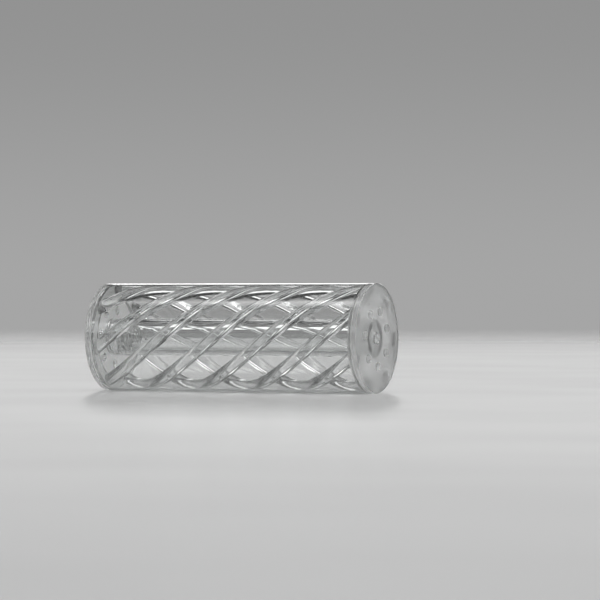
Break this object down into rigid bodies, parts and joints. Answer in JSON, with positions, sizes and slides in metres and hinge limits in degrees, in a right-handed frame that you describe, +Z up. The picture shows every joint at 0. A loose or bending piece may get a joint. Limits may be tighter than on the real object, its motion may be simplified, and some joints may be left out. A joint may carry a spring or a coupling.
{
  "type": "carbon dioxide diffuser",
  "caption": "Clear cylindrical carbon dioxide diffuser lying on its side, with helical strands round a core tube, a threaded inlet and a perforated outlet disc.",
  "frame": {"origin": "centre of the bounding box's bottom face: below the middle of the tube, on the surface that it lies on", "axes": "+X along the tube towards the outlet disc, -Y towards the front, +Z up"},
  "size_m": [0.0874, 0.032, 0.032],
  "materials": {
    "clear_acrylic": "clear, polished",
    "hazed_acrylic": "clear, slightly hazed",
    "clear_silicone": "translucent, soft"
  },
  "bodies": {
    "housing": {"outer_tube": "clear_acrylic", "inlet_disc": "hazed_acrylic", "inlet_port": "clear_acrylic", "port_o_ring": "clear_silicone", "core_tube": "clear_acrylic"},
    "cage": {"strand_1": "clear_acrylic", "strand_2": "clear_acrylic", "strand_3": "clear_acrylic", "strand_4": "clear_acrylic", "strand_5": "clear_acrylic", "strand_6": "clear_acrylic", "strand_7": "clear_acrylic", "inlet_ring": "clear_acrylic", "outlet_ring": "clear_acrylic"},
    "outlet_cap": {"outlet_disc": "hazed_acrylic", "outlet_gasket": "clear_silicone", "outlet_plug": "clear_acrylic", "plug_o_ring": "clear_silicone"}
  },
  "joints": [
    {"name": "cage_slide", "type": "slide", "parent": "housing", "child": "cage", "axis": [1, 0, 0], "range_m": [0, 0.08]},
    {"name": "outlet_cap_pull", "type": "slide", "parent": "cage", "child": "outlet_cap", "axis": [1, 0, 0], "range_m": [0, 0.012]}
  ]
}
